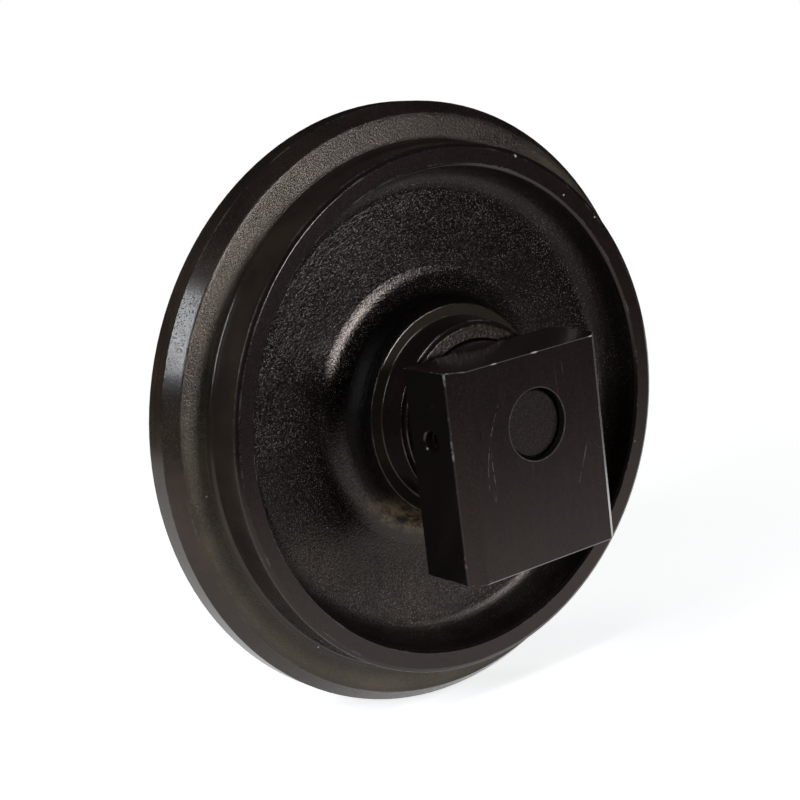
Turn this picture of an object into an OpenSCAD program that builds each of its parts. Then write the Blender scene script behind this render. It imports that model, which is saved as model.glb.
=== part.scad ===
// Front idler of a small tracked excavator: a flanged wheel that turns on a fixed shaft,
// carried by a sliding guide block on each end of the shaft.
// The shaft lies along Y through the origin, +Z is up, and the right side is -Y.

/* [Wheel rim] */
// Diameter of the two treads
tread_d = 265; // [250:1:280]
// Height of the guide flange above the treads
flange_h = 20.5; // [16:0.5:26]
// Width of the flat land on top of the flange
flange_land_w = 11; // [8:0.5:16]
// Width of the flange at the foot of its edge chamfers
flange_edge_w = 26; // [22:0.5:28]
// Height of the flange's edge chamfers
flange_chamfer_h = 5.5; // [3:0.5:8]
// Width of the flange where its tapered sides meet the tread
flange_root_w = 31; // [29:0.5:36]
// Fillet between the flange and the tread
flange_fillet_r = 3.7; // [2:0.1:5]
// Width over the two rim faces
rim_w = 74; // [66:1:84]
// Height of the chamfer on the tread's outer edge
rim_chamfer_h = 2.2; // [1:0.1:3]
// Width of the chamfer on the tread's outer edge
rim_chamfer_w = 1.4; // [0.6:0.1:3]
// Thickness of the rim beside the recess
rim_t = 10; // [7:0.5:14]
// Bevel on the mouth of the recess
recess_bevel = 1.2; // [0.6:0.1:2.5]
// Casting draft of the recess wall, on the radius
recess_draft = 1.4; // [0.5:0.1:3]
// Fillet between the recess wall and the web
recess_fillet_r = 12; // [6:0.5:15]

/* [Web and hub] */
// Thickness of the web
web_t = 30.6; // [24:0.2:36]
// Width over the two ring faces of the hub
hub_w = 70.4; // [66:0.2:80]
// Width of the ring face of the hub
ring_face_w = 6; // [3:0.5:10]
// Casting draft of the hub's side, on the radius
hub_draft = 2.5; // [1:0.1:4]
// Fillet between the hub and the web
hub_fillet_r = 17; // [8:0.5:18]
// Taper of the nose from the ring face to its shoulder, on the radius
nose_taper = 1.2; // [0.5:0.1:2]
// Length of the nose from the ring face to its shoulder
nose_l = 13.7; // [11:0.1:18]
// Width of the shoulder round the raised end face
shoulder_w = 2; // [1:0.1:3]
// Wall of the raised end face, outside the boss of a block
lip_wall = 6.8; // [4:0.1:10]
// Height of the raised end face above the shoulder
lip_l = 1.9; // [1:0.1:3]
// Radius that breaks the machined edges of the wheel
edge_r = 0.8; // [0.4:0.1:1]

/* [Bearing] */
// Diameter of the shaft
shaft_d = 35; // [32:0.5:36]
// Depth of the shaft's ends below the faces of the blocks
shaft_inset = 3.5; // [1:0.5:8]
// Chamfer on the ends of the shaft
shaft_chamfer = 2; // [1:0.5:4]
// Radial clearance between the shaft and the bushes
running_clearance = 0.05; // [0.02:0.01:0.1]
// Wall of the bushes
bush_wall = 3.5; // [2.5:0.1:5]
// Length of each bush
bush_l = 21; // [16:0.5:25]
// Chamfer on the ends of the bushes
bush_chamfer = 0.6; // [0.3:0.1:1]
// Radius of the oil grooves in the bore of a bush
groove_r = 1.5; // [0.8:0.1:2]
// Plain land that closes the oil grooves at the outer end of a bush
groove_land = 4; // [2:0.5:6]
// Height of the oil space above the bushes
oil_space_h = 4; // [2:0.5:7]
// Width of the thrust washers beyond the bushes
washer_overlap = 5.5; // [4:0.1:6]
// Thickness of the thrust washers
washer_t = 2.5; // [2:0.1:4]
// Clearance round the thrust washers
washer_clearance = 0.08; // [0.05:0.01:0.2]
// Width of the oil grooves across a thrust washer
washer_groove_w = 3; // [2:0.1:5]
// Depth of the oil grooves across a thrust washer
washer_groove_t = 0.8; // [0.4:0.1:1.2]
// End float between a thrust washer and the nose of its block
end_float = 0.4; // [0.2:0.1:1]

/* [Seals] */
// Wall of the thrust nose that reaches through the seals
thrust_nose_wall = 4.2; // [3:0.1:6]
// Clearance between the thrust nose and the metal seal rings
nose_clearance = 0.8; // [0.5:0.1:1.5]
// Wall of the metal seal rings at their tail
seal_wall = 3; // [2:0.1:4]
// Height of the flange behind the sealing face, above the tail
seal_flange_h = 4.5; // [4:0.1:5]
// Thickness of the flange behind the sealing face
seal_face_t = 2.6; // [2:0.1:3.4]
// Length of each metal seal ring
seal_ring_l = 10; // [9:0.1:12]
// Slope of the ramps on which the rubber rings seat
seal_ramp = 10; // [6:0.5:12]
// Fillet between the ramp and the flange of a metal seal ring
seal_fillet_r = 1; // [0.5:0.1:1.5]
// Width of the lapped band of the sealing face
seal_band_w = 3; // [2:0.1:4]
// Relief of the sealing face inside the lapped band
seal_relief = 0.6; // [0.2:0.1:1]
// Gap that the oil film keeps between the two sealing faces
seal_film = 0.1; // [0.06:0.02:0.2]
// Section of the rubber rings of the seals
toric_d = 5; // [4:0.1:6]
// Room behind the tail of each metal seal ring
seal_tail_room = 2.9; // [1.5:0.1:4]
// Clearance round the rubber rings
rubber_clearance = 0.08; // [0.05:0.01:0.2]
// Depth that the boss of a block enters the hub
overlap_l = 5.5; // [3:0.5:7]
// Gap between the boss of a block and the hub
labyrinth_gap = 1; // [0.6:0.1:1.5]
// Section of the O-rings between the shaft and the blocks
o_ring_d = 3; // [2:0.1:3.5]
// Room on each side of an O-ring in its groove
o_ring_room = 0.4; // [0.2:0.1:0.8]

/* [Guide blocks] */
// Width of the blocks between the guide faces
block_w = 94.4; // [88:0.2:104]
// Height of the blocks above the shaft's centre
block_up = 34.7; // [32:0.1:44]
// Depth of the blocks below the shaft's centre
block_down = 68.8; // [60:0.2:80]
// Thickness of the blocks along the shaft
block_t = 37.6; // [34:0.2:46]
// Space between the hub's end and the back of a block
block_gap = 6.7; // [5:0.1:10]
// Width of the chamfers beside the outer face
block_chamfer_w = 7.5; // [4:0.5:10]
// Depth of the chamfers beside the outer face
block_chamfer_t = 7; // [4:0.5:9]
// Break on the other edges of the blocks
edge_break = 0.8; // [0.4:0.1:1.5]
// Wall of the round boss that holds the seal on the back of a block
boss_wall = 4.1; // [3:0.1:6]

/* [Lock pins] */
// Diameter of the lock pins
pin_d = 10; // [6:0.5:12]
// Wall of the lock pins
pin_wall = 2; // [1:0.1:2.5]
// Width of the slot along a lock pin
pin_slot = 1.6; // [0.8:0.1:2.4]
// Chamfer on the ends of the lock pins
pin_chamfer = 0.8; // [0.4:0.1:1.5]
// Depth of the pins' ends below the guide faces
pin_inset = 4; // [1:0.5:12]
// Countersink at the mouth of the pin holes
pin_countersink = 0.8; // [0.3:0.1:1.5]

/* [Oil plug] */
// Diameter of the oil plug
plug_d = 10; // [8:0.5:12]
// Length of the oil plug
plug_l = 9; // [7:0.5:12]
// Size of the hexagon socket across its flats
plug_socket = 5; // [4:0.5:6]
// Depth of the hexagon socket
plug_socket_depth = 4; // [2:0.5:5]
// Diameter of the spot face round the plug
spot_d = 17; // [14:0.5:20]
// Diameter of the oil hole under the plug
oil_hole_d = 5; // [3:0.5:6]
// Tilt of the oil hole from the radial direction
oil_hole_tilt = 30; // [26:1:34]
// Place of the oil hole round the shaft, from the top
oil_hole_clock = 35; // [0:5:355]

/* [Hidden] */
$fn = 96;
// Allowance by which a cut runs past the face that it opens
past = 1;

// Stations along the shaft, from the middle of the wheel outwards
web_face = web_t / 2;
hub_face = hub_w / 2;
nose_shoulder = hub_face + nose_l;
hub_end = nose_shoulder + lip_l;
boss_end = hub_end - overlap_l;
labyrinth_floor = boss_end - labyrinth_gap;
seal_plane = boss_end - labyrinth_gap / 2;
housing_depth = seal_ring_l + seal_tail_room;
wheel_housing_floor = seal_plane - housing_depth;
block_housing_floor = seal_plane + housing_depth;
bush_outer_end = wheel_housing_floor - washer_t;
bush_inner_end = bush_outer_end - bush_l;
thrust_nose_end = wheel_housing_floor + end_float;
block_back = hub_end + block_gap;
block_front = block_back + block_t;
shaft_end = block_front - shaft_inset;
pin_station = block_back + (block_t - block_chamfer_t) / 2;
o_ring_station = (block_housing_floor + pin_station - pin_d / 2) / 2;

// Radii of the bearing and the seals, from the shaft outwards
shaft_r = shaft_d / 2;
bush_r = shaft_r + bush_wall;
oil_space_r = bush_r + oil_space_h;
washer_r = bush_r + washer_overlap;
thrust_nose_r = shaft_r + thrust_nose_wall;
seal_bore_r = thrust_nose_r + nose_clearance;
seal_tail_r = seal_bore_r + seal_wall;
seal_face_r = seal_tail_r + seal_flange_h;
ramp_gap = (toric_d + 2 * rubber_clearance) / cos(seal_ramp);
housing_mouth_r = housing_r(labyrinth_gap / 2);
housing_floor_r = housing_r(housing_depth);
boss_r = housing_mouth_r + boss_wall;
labyrinth_r = boss_r + labyrinth_gap;

// Radii of the hub and the rim
lip_r = labyrinth_r + lip_wall;
nose_r = lip_r + shoulder_w;
nose_root_r = nose_r + nose_taper;
hub_r = nose_root_r + ring_face_w;
hub_foot_r = hub_r + hub_draft;
tread_r = tread_d / 2;
flange_r = tread_r + flange_h;
recess_r = tread_r - rim_t;
recess_foot_r = recess_r - recess_bevel - recess_draft;

// Half section of the wheel as [radius, station], from the flange's land to the oil space
land_edge = [flange_r, flange_land_w / 2];
flange_edge = [flange_r - flange_chamfer_h, flange_edge_w / 2];
flange_root = [tread_r, flange_root_w / 2];
tread_edge = [tread_r, rim_w / 2 - rim_chamfer_w];
rim_edge = [tread_r - rim_chamfer_h, rim_w / 2];
mouth_edge = [recess_r, rim_w / 2];
mouth_foot = [recess_r - recess_bevel, rim_w / 2 - recess_bevel];
recess_foot = [recess_foot_r, web_face];
hub_foot = [hub_foot_r, web_face];
hub_edge = [hub_r, hub_face];
nose_root = [nose_root_r, hub_face];
nose_edge = [nose_r, nose_shoulder];
lip_root = [lip_r, nose_shoulder];
lip_edge = [lip_r, hub_end];
wheel_half = [
  land_edge, flange_edge, flange_root, tread_edge, rim_edge, mouth_edge, mouth_foot, recess_foot,
  hub_foot, hub_edge, nose_root, nose_edge, lip_root, lip_edge,
  [labyrinth_r, hub_end], [labyrinth_r, labyrinth_floor],
  [housing_mouth_r, labyrinth_floor], [housing_floor_r, wheel_housing_floor],
  [washer_r + washer_clearance, wheel_housing_floor], [washer_r + washer_clearance, bush_outer_end],
  [bush_r, bush_outer_end], [bush_r, bush_inner_end],
  [oil_space_r, bush_inner_end]
];

// Rubber ring between the ramp of a metal seal ring and the ramp of its housing
toric_r = toric_d / 2;
toric_station = seal_face_t + rubber_clearance + toric_r;
toric_ring_r = ramp_r(toric_station) + ramp_gap / 2;

// O-ring in its groove in the bore of a block
o_ring_r = o_ring_d / 2 - rubber_clearance;
o_ring_ring_r = shaft_r + o_ring_d / 2;
o_ring_groove_w = o_ring_d + 2 * o_ring_room;

// Seat of the oil plug, where the tilted oil hole leaves the hub's fillet
plug_axis_start = oil_space_r - oil_hole_d;
fillet_centre = corner_centre(recess_foot, hub_foot, hub_edge, hub_fillet_r);
plug_seat = plug_seat_distance(fillet_centre, plug_axis_start, oil_hole_tilt, hub_fillet_r) - past;

black_paint = "#231f1d";
bare_steel = "#8d9094";
bronze = "#a9824f";
black_rubber = "#17181a";

function unit(v) = v / norm(v);

// Radius of a metal seal ring's ramp, and of its housing, at a distance from the sealing face
function ramp_r(distance) = seal_tail_r + (seal_ring_l - distance) * tan(seal_ramp);
function housing_r(distance) = ramp_r(distance) + ramp_gap;

// Centre of the arc of radius r that is tangent to both legs of the corner a, p, b
function corner_centre(a, p, b, r) =
  let (u = unit(a - p), v = unit(b - p), half = acos(u * v) / 2)
  p + unit(u + v) * r / sin(half);

// Distance along a tilted line, from its start on the radius, to the hub's fillet
function plug_seat_distance(centre, start, tilt, r) =
  let (to = centre - [start, 0], along = to * [cos(tilt), sin(tilt)], aside2 = to * to - along * along)
  along - sqrt(r * r - aside2);

// Area between the corner at p and the arc of radius r that is tangent to its two legs
module corner_area(a, p, b, r) {
  u = unit(a - p);
  v = unit(b - p);
  reach = r / tan(acos(u * v) / 2);
  centre = corner_centre(a, p, b, r);
  difference() {
    polygon([p, p + u * reach, centre, p + v * reach]);
    translate(centre) circle(r);
  }
}

// Turns a section of [radius, station] about the shaft
module around_shaft() {
  rotate([-90, 0, 0]) rotate_extrude() children();
}

// Ring of the given radii between two stations, with a chamfer on its outer edges
module ring(inner_r, outer_r, from, to, chamfer = 0) {
  around_shaft()
    polygon([
      [inner_r, from], [outer_r - chamfer, from], [outer_r, from + chamfer],
      [outer_r, to - chamfer], [outer_r - chamfer, to], [inner_r, to]
    ]);
}

// Round bar along the shaft
module bar(r, from, to) {
  translate([0, from, 0]) rotate([-90, 0, 0]) cylinder(r = r, h = to - from);
}

// Puts a left-hand piece on the right side
module on_right() {
  mirror([0, 1, 0]) children();
}

// Frame of the oil hole: its Z axis runs outwards along the hole
module along_oil_hole() {
  rotate([0, oil_hole_clock, 0])
    translate([0, 0, plug_axis_start])
      rotate([-oil_hole_tilt, 0, 0]) children();
}

module wheel_section() {
  // corners that are filled to a fillet, each as [before, corner, after, radius]
  fillets = [
    [flange_edge, flange_root, tread_edge, flange_fillet_r],
    [mouth_foot, recess_foot, hub_foot, recess_fillet_r],
    [recess_foot, hub_foot, hub_edge, hub_fillet_r],
    [hub_edge, nose_root, nose_edge, edge_r]
  ];
  // edges that are rounded off
  rounds = [
    [[flange_r, 0], land_edge, flange_edge, edge_r],
    [land_edge, flange_edge, flange_root, edge_r],
    [flange_root, tread_edge, rim_edge, edge_r],
    [tread_edge, rim_edge, mouth_edge, edge_r],
    [hub_foot, hub_edge, nose_root, edge_r],
    [nose_root, nose_edge, lip_root, edge_r],
    [lip_root, lip_edge, [labyrinth_r, hub_end], edge_r]
  ];
  difference() {
    union() {
      polygon(concat(wheel_half, [for (i = [len(wheel_half) - 1 : -1 : 0]) [wheel_half[i].x, -wheel_half[i].y]]));
      for (f = fillets, side = [0, 1]) mirror([0, side]) corner_area(f[0], f[1], f[2], f[3]);
    }
    for (e = rounds, side = [0, 1]) mirror([0, side]) corner_area(e[0], e[1], e[2], e[3]);
  }
}

module wheel() {
  color(black_paint)
    difference() {
      around_shaft() wheel_section();
      along_oil_hole() {
        cylinder(d = oil_hole_d, h = plug_seat);
        translate([0, 0, plug_seat - plug_l]) cylinder(d = plug_d, h = plug_l);
        translate([0, 0, plug_seat]) cylinder(d = spot_d, h = spot_d);
      }
    }
}

module oil_plug() {
  color(bare_steel)
    along_oil_hole()
      translate([0, 0, plug_seat - plug_l])
        difference() {
          cylinder(d = plug_d, h = plug_l);
          translate([0, 0, plug_l - plug_socket_depth])
            cylinder(d = plug_socket / cos(30), h = plug_socket_depth + past, $fn = 6);
        }
}

module bush() {
  color(bronze)
    difference() {
      ring(shaft_r + running_clearance, bush_r, bush_inner_end, bush_outer_end, bush_chamfer);
      for (side = [-1, 1])
        translate([side * shaft_r, 0, 0]) bar(groove_r, bush_inner_end - past, bush_outer_end - groove_land);
    }
}

module thrust_washer() {
  color(bronze)
    difference() {
      ring(shaft_r + washer_clearance, washer_r, bush_outer_end, wheel_housing_floor);
      for (turn = [0 : 90 : 270])
        rotate([0, turn, 0])
          translate([0, wheel_housing_floor - washer_groove_t, -washer_groove_w / 2])
            cube([washer_r + past, washer_groove_t + past, washer_groove_w]);
    }
}

// Metal ring of a face seal, drawn from its sealing face at station 0 towards its tail
module seal_ring() {
  face = seal_film / 2;
  flange_back = [seal_face_r, seal_face_t];
  ramp_root = [ramp_r(seal_face_t), seal_face_t];
  tail = [seal_tail_r, seal_ring_l];
  color(bare_steel)
    around_shaft() {
      polygon([
        [seal_bore_r, face + seal_relief], [seal_face_r - seal_band_w, face], [seal_face_r, face],
        flange_back, ramp_root, tail, [seal_bore_r, seal_ring_l]
      ]);
      corner_area(flange_back, ramp_root, tail, seal_fillet_r);
    }
}

// Rubber ring of a face seal, in the same place
module seal_toric() {
  color(black_rubber) around_shaft() translate([toric_ring_r, toric_station]) circle(toric_r);
}

// Puts a seal piece on the wheel's side of the seal
module on_wheel_side() {
  translate([0, seal_plane, 0]) mirror([0, 1, 0]) children();
}

// Puts a seal piece on the block's side of the seal
module on_block_side() {
  translate([0, seal_plane, 0]) children();
}

module shaft() {
  color(bare_steel)
    difference() {
      around_shaft()
        polygon([
          [0, -shaft_end], [shaft_r - shaft_chamfer, -shaft_end],
          [shaft_r, -shaft_end + shaft_chamfer], [shaft_r, shaft_end - shaft_chamfer],
          [shaft_r - shaft_chamfer, shaft_end], [0, shaft_end]
        ]);
      for (side = [-1, 1]) translate([0, side * pin_station, 0]) pin_bore(shaft_d);
    }
}

// Straight bore across the shaft for a lock pin
module pin_bore(length) {
  rotate([0, 90, 0]) cylinder(d = pin_d, h = length + 2 * past, center = true);
}

// Rolled spring pin with chamfered ends and a slot along its length
module lock_pin() {
  half_l = block_w / 2 - pin_inset;
  color(bare_steel)
    translate([0, pin_station, 0])
      rotate([0, 90, 0])
        difference() {
          rotate([90, 0, 0]) ring(pin_d / 2 - pin_wall, pin_d / 2, -half_l, half_l, pin_chamfer);
          translate([0, -pin_slot / 2, -half_l - past]) cube([pin_d, pin_slot, 2 * (half_l + past)]);
        }
}

// Outline of a block seen from above, with the large chamfers beside its outer face
module block_plan() {
  half_w = block_w / 2;
  polygon([
    [-half_w + edge_break, block_back], [half_w - edge_break, block_back], [half_w, block_back + edge_break],
    [half_w, block_front - block_chamfer_t], [half_w - block_chamfer_w, block_front],
    [-half_w + block_chamfer_w, block_front], [-half_w, block_front - block_chamfer_t],
    [-half_w, block_back + edge_break]
  ]);
}

// Rectangle from low to high with its corners cut off
module broken_rectangle(low, high) {
  polygon([
    [low.x + edge_break, low.y], [high.x - edge_break, low.y], [high.x, low.y + edge_break],
    [high.x, high.y - edge_break], [high.x - edge_break, high.y], [low.x + edge_break, high.y],
    [low.x, high.y - edge_break], [low.x, low.y + edge_break]
  ]);
}

module block_body() {
  half_w = block_w / 2;
  intersection() {
    translate([0, 0, -block_down]) linear_extrude(block_up + block_down) block_plan();
    rotate([90, 0, 90])
      linear_extrude(block_w + 2 * past, center = true)
        broken_rectangle([block_back, -block_down], [block_front, block_up]);
    translate([0, block_front + past, 0])
      rotate([90, 0, 0])
        linear_extrude(block_t + 2 * past)
          broken_rectangle([-half_w, -block_down], [half_w, block_up]);
  }
}

// Space for a seal round the thrust nose of a block
module block_housing() {
  around_shaft()
    polygon([
      [thrust_nose_r, boss_end - past], [housing_mouth_r, boss_end - past], [housing_mouth_r, boss_end],
      [housing_floor_r, block_housing_floor], [thrust_nose_r, block_housing_floor]
    ]);
}

module guide_block() {
  color(black_paint)
    difference() {
      union() {
        block_body();
        bar(boss_r, boss_end, block_back + past);
        bar(thrust_nose_r, thrust_nose_end, block_back + past);
      }
      block_housing();
      bar(shaft_r, thrust_nose_end - past, block_front + past);
      ring(shaft_r - past, shaft_r + o_ring_d, o_ring_station - o_ring_groove_w / 2,
           o_ring_station + o_ring_groove_w / 2);
      translate([0, pin_station, 0]) {
        pin_bore(block_w);
        for (side = [-1, 1])
          translate([side * block_w / 2, 0, 0])
            rotate([0, side * 90, 0])
              translate([0, 0, -pin_countersink])
                cylinder(d1 = pin_d, d2 = pin_d + 4 * pin_countersink, h = 2 * pin_countersink);
      }
    }
}

module shaft_o_ring() {
  color(black_rubber) around_shaft() translate([o_ring_ring_r, o_ring_station]) circle(o_ring_r);
}

wheel();
bush();  // left_bush
on_right() bush();  // right_bush
thrust_washer();  // left_thrust_washer
on_right() thrust_washer();  // right_thrust_washer
oil_plug();
on_wheel_side() seal_ring();  // left_wheel_seal_ring
on_right() on_wheel_side() seal_ring();  // right_wheel_seal_ring
on_wheel_side() seal_toric();  // left_wheel_seal_toric
on_right() on_wheel_side() seal_toric();  // right_wheel_seal_toric
shaft();
guide_block();  // left_guide_block
on_right() guide_block();  // right_guide_block
lock_pin();  // left_lock_pin
on_right() lock_pin();  // right_lock_pin
on_block_side() seal_ring();  // left_block_seal_ring
on_right() on_block_side() seal_ring();  // right_block_seal_ring
on_block_side() seal_toric();  // left_block_seal_toric
on_right() on_block_side() seal_toric();  // right_block_seal_toric
shaft_o_ring();  // left_shaft_o_ring
on_right() shaft_o_ring();  // right_shaft_o_ring
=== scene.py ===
"""Looks of a front idler of a small tracked excavator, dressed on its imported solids.

The shaft lies along Y through the origin, +Z is up and the right side is -Y. Lengths are metres.
"""

import math
from types import SimpleNamespace
from typing import NamedTuple

import bmesh
import bpy
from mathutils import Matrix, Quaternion, Vector


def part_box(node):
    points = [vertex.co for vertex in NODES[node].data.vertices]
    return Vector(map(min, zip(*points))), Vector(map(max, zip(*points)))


bl_info = {
    "name": "Excavator Front Idler",
    "version": (1, 0, 0),
    "blender": (4, 5, 0),
    "location": "View3D > Sidebar > Idler",
    "description": "Paints and stages the front idler of a small excavator",
    "category": "Object",
}

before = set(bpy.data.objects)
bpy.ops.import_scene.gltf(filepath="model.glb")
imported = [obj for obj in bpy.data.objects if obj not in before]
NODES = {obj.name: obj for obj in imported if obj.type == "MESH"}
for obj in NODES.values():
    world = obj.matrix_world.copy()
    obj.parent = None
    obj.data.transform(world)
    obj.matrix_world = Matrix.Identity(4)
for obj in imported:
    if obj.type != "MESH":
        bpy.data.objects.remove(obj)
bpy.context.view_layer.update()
MM = 0.001

WHEEL_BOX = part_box("wheel")
FLOOR_Z = WHEEL_BOX[0].z

SEAL_METAL_NODES = [n for n in NODES if n.endswith("seal_ring")]
RUBBER_NODES = [n for n in NODES if n.endswith("toric") or n.endswith("o_ring")]
BRONZE_NODES = [n for n in NODES if n.endswith("bush") or n.endswith("washer")]
BLOCK_NODES = ["left_guide_block", "right_guide_block"]
SMALL_STEEL_NODES = ["left_lock_pin", "right_lock_pin", "oil_plug"]

BLACK = (0.0, 0.0, 0.0, 1.0)
WHITE = (1.0, 1.0, 1.0, 1.0)
FLOOR_GREY = (0.80, 0.80, 0.80, 1.0)
CLOTH_GREY = (0.02, 0.02, 0.02, 1.0)

# Nicks as centre and radius, in millimetres
WHEEL_NICKS = (
    ((53.5, -36.6, 118.8), 1.0), ((102.4, -36.6, 79.2), 0.8), ((82.7, -37.0, 94.1), 0.6),
    ((-88.0, -15.2, -101.7), 0.8), ((-74.4, -15.5, -108.8), 0.7), ((-137.6, -14.7, -11.1), 0.6),
)
BLOCK_NICKS = (
    ((-22.2, -94.7, 34.3), 0.45), ((3.0, -94.7, 34.3), 0.55), ((39.5, -94.6, 34.2), 0.45),
)
ROUND_NICK = (1.0, 1.0, 1.0)
LONG_NICK = (0.20, 1.0, 1.0)
# Curved scratches on the blocks' outer faces as three points in X and Z, in millimetres
BLOCK_SCRATCHES = (
    ((-21.4, 16.6), (-31.2, -6.8), (-33.1, -28.5)),
    ((30.1, -15.5), (26.5, -25.0), (21.7, -36.3)),
    ((-28.0, 4.0), (-29.8, -12.0), (-29.0, -24.0)),
)
SCRATCH_TAPER = 3 * MM
SCRATCH_REACH = (12 * MM, 14 * MM)
SCRATCH_CORE = 0.3

# Widths of the lighter line on the wheel's edges, which is partly rubbed paint and partly a painted highlight
WHEEL_EDGE_WIDTHS = {
    "land_edge": 0.8 * MM, "flange_edge": 0.8 * MM, "tread_edge": 0.7 * MM, "rim_edge": 0.7 * MM,
    "mouth_edge": 0.8 * MM, "hub_edge": 0.7 * MM, "nose_edge": 0.6 * MM, "end_edge": 0.6 * MM,
}
# Soft bounds of the wheel's zones, a small margin past a face, and a radius or station past the whole wheel
SOFT_EDGE = 0.4 * MM
SOFT_FACE = 0.5 * MM
SOFT_SIDE = 1.0 * MM
SOFT_HUB = 4.0 * MM
MARGIN = 1.0 * MM
FAR = 1.0
# Levels in Z between which low dirt ends, film and dust begin to fade towards the top, and the clay under the
# hub ends
LOW_LEVELS = (-70 * MM, 20 * MM)
TOP_FADE_LEVELS = (95 * MM, 130 * MM)
CLAY_LEVELS = (-50 * MM, -30 * MM)
# Values of the sand grain's noise between which its tips rise, and heights between which its hollows end
TIP_VALUES = (0.59, 0.73)
HOLLOW_HEIGHTS = (0.90, 1.10)
# Density and height of the sand grain's wide waves beside its fine ones
WIDE_DENSITY = 0.48
WIDE_HEIGHT = 1.1

# Rubbed paint, which along edges also stands in for highlights: sizes and shares of its broad and fine patches,
# and the values and edge shares where it rises
RUB_SIZES = (16 * MM, 1.6 * MM)
RUB_SHARES = (0.8, 0.4)
RUB_VALUES = (0.58, 0.82)
RUB_EDGE = (0.1, 0.8)
# Specks: their pitch, and the radii of their core and rim as shares of it
SPECK_PITCH = 11 * MM
SPECK_RADII = (0.020, 0.042)
# Fine scratches and upright streaks: their size, how they are drawn out along Z, and their width in noise
SCRATCH_SIZE = 9 * MM
SCRATCH_DRAW = (1.0, 1.0, 0.22)
SCRATCH_WIDTHS = (0.002, 0.008)
STREAK_DRAW = (1.0, 1.0, 0.06)
# Grit on the shaft's ends, the blocks' slow change of gloss, and the turning marks of inner pieces
GRIT_SIZE = 0.9 * MM
GRIT_VALUES = (0.50, 0.70)
GLOSS_DRIFT_SIZE = 30 * MM
MARK_ROUGHNESS = 0.12
MARK_DEPTH = 0.01 * MM


class Pattern(NamedTuple):
    """Noise that makes a mask: its size, detail and roughness, and where the mask starts and is full"""

    size: float
    detail: float
    rough: float
    start: float
    full: float


LIGHT_CLOUDS = Pattern(34 * MM, 4.0, 0.60, 0.32, 0.68)
MOTTLE = Pattern(2.4 * MM, 3.0, 0.60, 0.35, 0.68)
# Patches where more of the painted glints on the cast grain's tips show
GLINT_PATCHES = Pattern(22 * MM, 3.0, 0.60, 0.30, 0.70)
DRIFT = Pattern(40 * MM, 4.0, 0.65, 0.36, 0.70)
SPECKLE = Pattern(0.60 * MM, 2.0, 0.60, 0.36, 0.64)
END_CRUST = Pattern(1.8 * MM, 3.0, 0.65, 0.35, 0.75)
CLAY_PATCHES = Pattern(7 * MM, 4.0, 0.70, 0.32, 0.66)
CHAMFER_PITS = Pattern(0.8 * MM, 1.0, 0.50, 0.56, 0.70)
BLOCK_STREAKS = Pattern(2.2 * MM, 3.0, 0.60, 0.42, 0.72)
BLOCK_GRIT = Pattern(0.8 * MM, 2.0, 0.60, 0.52, 0.72)
SCRATCH_GAPS = Pattern(3.0 * MM, 2.0, 0.50, 0.40, 0.62)
SCRATCH_PLACES = Pattern(24 * MM, 2.0, 0.50, 0.54, 0.68)
SPECK_PLACES = Pattern(26 * MM, 2.0, 0.50, 0.57, 0.66)


def colour_property(name, description, default):
    """A colour that a user can change."""
    return bpy.props.FloatVectorProperty(
        name=name, description=description, subtype="COLOR", size=3, min=0.0, max=1.0, default=default
    )


def length_property(name, description, default):
    """A length that a user can change."""
    return bpy.props.FloatProperty(
        name=name, description=description, default=default, min=0.0, unit="LENGTH", precision=5
    )


def share_property(name, description, default):
    """A share from 0 to 1 that a user can change."""
    return bpy.props.FloatProperty(
        name=name, description=description, default=default, min=0.0, max=1.0, subtype="FACTOR"
    )


def place_property(name, description, radius, station):
    """The radius and the station of an edge that runs round the shaft, given in millimetres."""
    return bpy.props.FloatVectorProperty(
        name=name, description=description, size=2, unit="LENGTH", precision=5,
        default=(radius * MM, station * MM),
    )


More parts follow.
